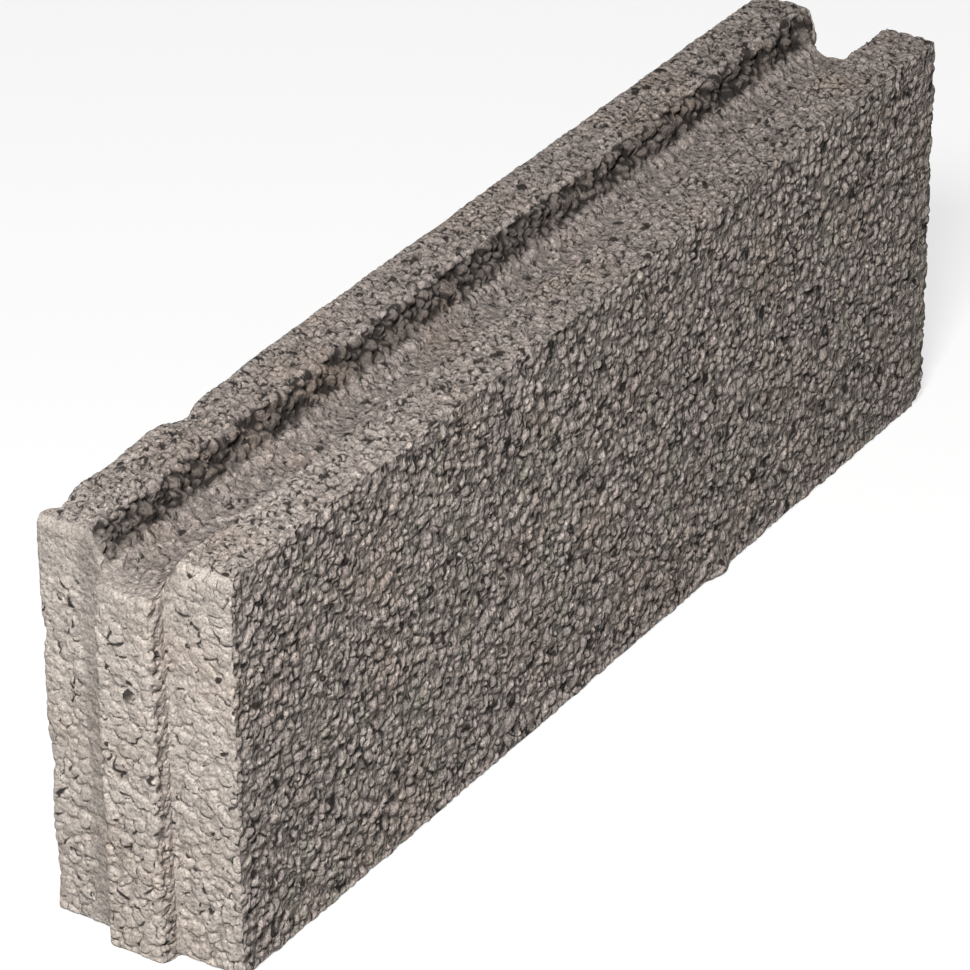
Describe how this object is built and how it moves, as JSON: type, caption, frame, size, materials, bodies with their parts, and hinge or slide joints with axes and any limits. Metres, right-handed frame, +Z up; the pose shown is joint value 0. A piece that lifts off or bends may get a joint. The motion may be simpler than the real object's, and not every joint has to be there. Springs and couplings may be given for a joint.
{
  "type": "concrete block",
  "caption": "Long narrow lightweight-aggregate concrete wall block with a round trough along its top, a tongue on one end and a matching groove in the other.",
  "frame": {"origin": "centre of the body's bottom bed, midway between the two end faces without the tongue", "axes": "+X along the block from the tongue end to the groove end, +Y across it, +Z up from the bed"},
  "size_m": [0.6, 0.1, 0.2],
  "materials": {
    "concrete": "open-textured lightweight aggregate concrete, matt, taupe grey"
  },
  "bodies": {
    "root": {"block": "concrete"}
  },
  "joints": []
}
